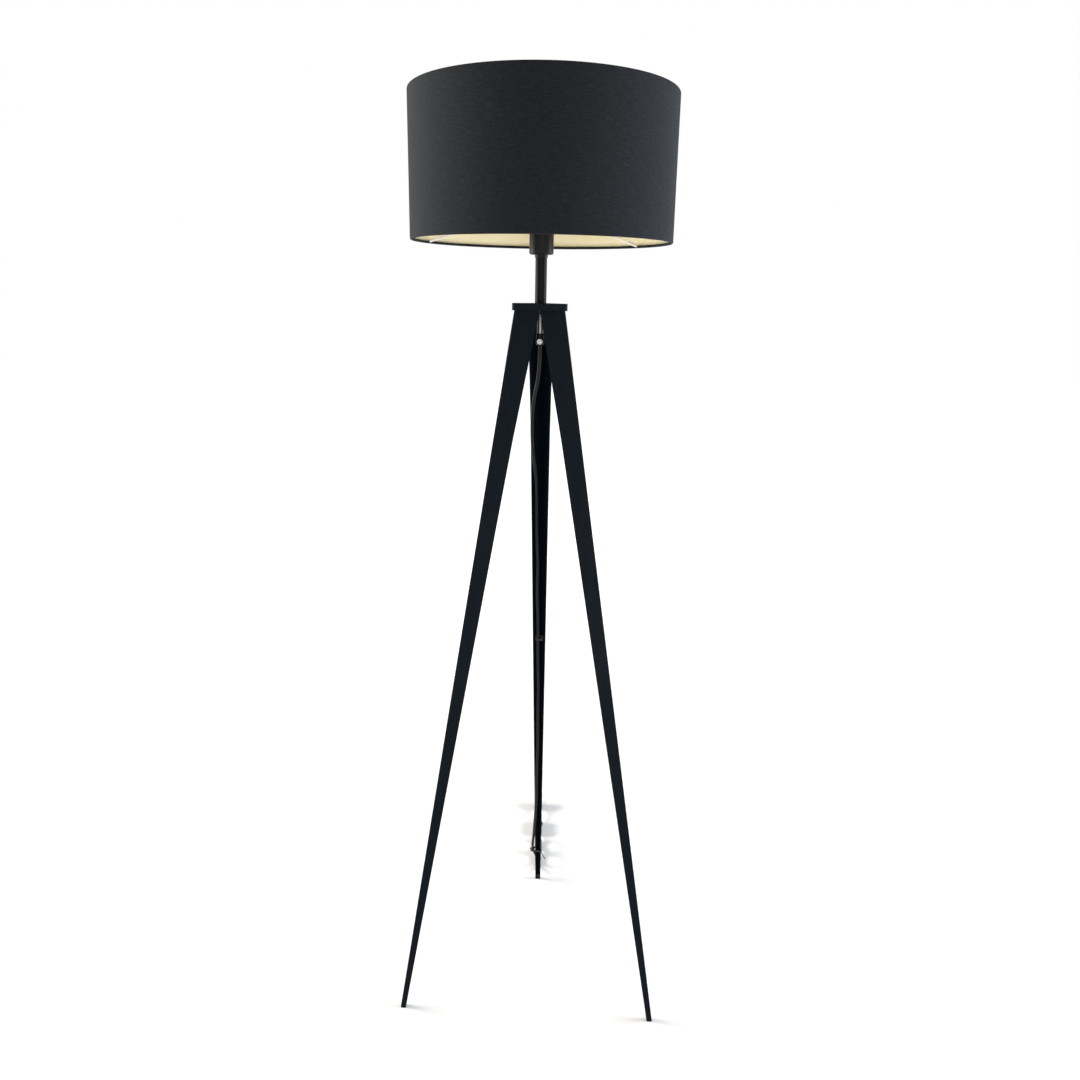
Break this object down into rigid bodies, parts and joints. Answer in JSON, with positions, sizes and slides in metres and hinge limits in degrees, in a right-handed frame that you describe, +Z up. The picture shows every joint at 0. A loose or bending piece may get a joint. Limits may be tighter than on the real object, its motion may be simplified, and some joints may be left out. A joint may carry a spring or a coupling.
{
  "type": "tripod floor lamp",
  "caption": "Floor lamp with tapered folded-steel legs under a triangular plate, a short pole, a screw-in lampholder, a fabric drum shade and a corded in-line switch.",
  "frame": {"origin": "on the floor, straight under the pole's axis", "axes": "+Z up; +Y towards the rear leg, which carries the lead; +X to the right seen from the front"},
  "size_m": [0.4518, 0.7698, 1.53],
  "materials": {
    "leg_paint": "satin blue-black powder coat",
    "pole_paint": "satin black",
    "foot_plastic": "matt black",
    "bare_steel": "zinc plated",
    "holder_plastic": "satin black",
    "insert_ceramic": "glazed off-white",
    "contact_brass": "bright",
    "shade_wire": "white enamel",
    "shade_cloth": "black plain weave",
    "shade_liner": "cream, satin",
    "cord_sheath": "matt black",
    "core_insulation": "brown",
    "tie_nylon": "smoky black nylon",
    "switch_plastic": "fine-textured black",
    "pin_nickel": "nickel plated"
  },
  "bodies": {
    "lamp": {"leg_rear": "leg_paint", "leg_left": "leg_paint", "leg_right": "leg_paint", "foot_glide_rear": "foot_plastic", "foot_glide_left": "foot_plastic", "foot_glide_right": "foot_plastic", "top_plate": "leg_paint", "leg_screws": "bare_steel", "plate_washer": "bare_steel", "plate_nut": "bare_steel", "holder_nut": "bare_steel", "pole": "pole_paint", "threaded_tube": "bare_steel", "cord_grip": "holder_plastic", "cord_grip_screw": "bare_steel", "lampholder_cap": "holder_plastic", "lampholder_shell": "holder_plastic", "lampholder_insert": "insert_ceramic", "screw_shell": "contact_brass", "centre_contact": "contact_brass", "terminal_screws": "contact_brass", "ring_nut_lower": "holder_plastic", "ring_nut_upper": "holder_plastic", "shade_bottom_ring": "shade_wire", "shade_top_ring": "shade_wire", "fitter_ring": "shade_wire", "fitter_arms": "shade_wire", "shade_fabric": "shade_cloth", "shade_lining": "shade_liner", "cord": "cord_sheath", "cord_inside": "cord_sheath", "cord_cores": "core_insulation", "cord_hank": "cord_sheath", "hank_tie": "tie_nylon", "cord_tie_upper": "tie_nylon", "tie_mount": "foot_plastic", "cord_tie_lower": "tie_nylon", "switch_base": "switch_plastic", "switch_cover": "switch_plastic", "switch_screws": "bare_steel", "switch_contacts": "contact_brass", "switch_pivot": "bare_steel", "plug_body": "switch_plastic", "plug_pins": "pin_nickel", "cord_to_switch": "cord_sheath", "cord_to_plug": "cord_sheath"},
    "rocker": {"switch_rocker": "switch_plastic"}
  },
  "joints": [
    {"name": "switch_rock", "type": "hinge", "parent": "lamp", "child": "rocker", "pos_m": [-0.00489, 0.43946, 0.012], "axis": [0, 0, 1], "range_deg": [0, 14]}
  ]
}
